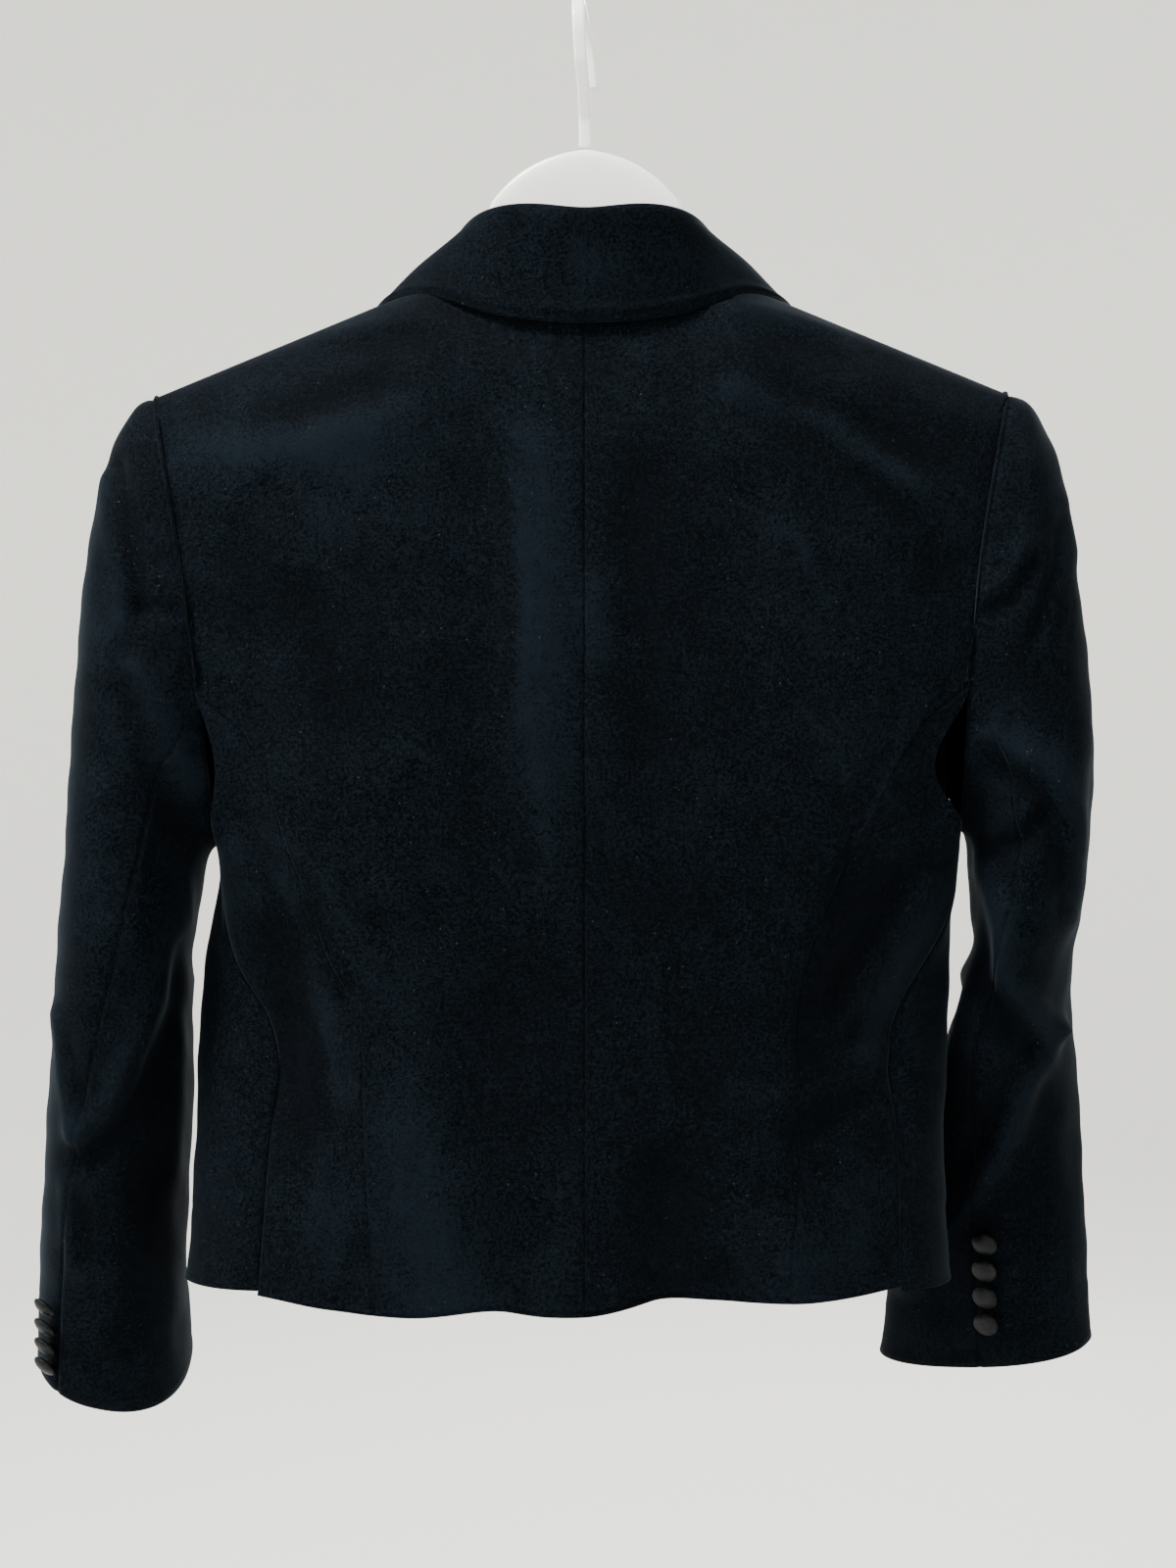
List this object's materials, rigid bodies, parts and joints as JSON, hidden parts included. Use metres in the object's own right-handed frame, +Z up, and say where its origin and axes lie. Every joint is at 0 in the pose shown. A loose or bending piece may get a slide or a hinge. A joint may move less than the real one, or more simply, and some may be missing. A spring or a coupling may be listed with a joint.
{
  "type": "blazer on a hanger",
  "caption": "Cropped dark velvet blazer with bracelet sleeves and covered buttons, hanging on a white moulded hanger.",
  "frame": {"origin": "highest point inside the hook, where it rests on a rail", "axes": "+Z up, -Y the way the wearer's front looks, +X towards the wearer's left"},
  "size_m": [0.5203, 0.1725, 0.6771],
  "materials": {
    "velvet": "matt pile",
    "satin": "satin",
    "hanger_white": "gloss",
    "hook_white": "gloss"
  },
  "bodies": {
    "root": {"back_left": "velvet", "side_back_left": "velvet", "front_left": "velvet", "lapel_left": "velvet", "upper_sleeve_left": "velvet", "under_sleeve_left": "velvet", "cuff_button_left_1": "satin", "cuff_button_left_2": "satin", "cuff_button_left_3": "satin", "cuff_button_left_4": "satin", "back_right": "velvet", "side_back_right": "velvet", "front_right": "velvet", "lapel_right": "velvet", "upper_sleeve_right": "velvet", "under_sleeve_right": "velvet", "cuff_button_right_1": "satin", "cuff_button_right_2": "satin", "cuff_button_right_3": "satin", "cuff_button_right_4": "satin", "collar": "velvet", "front_button": "satin", "hanger_body": "hanger_white", "hanger_hook": "hook_white"}
  },
  "joints": []
}
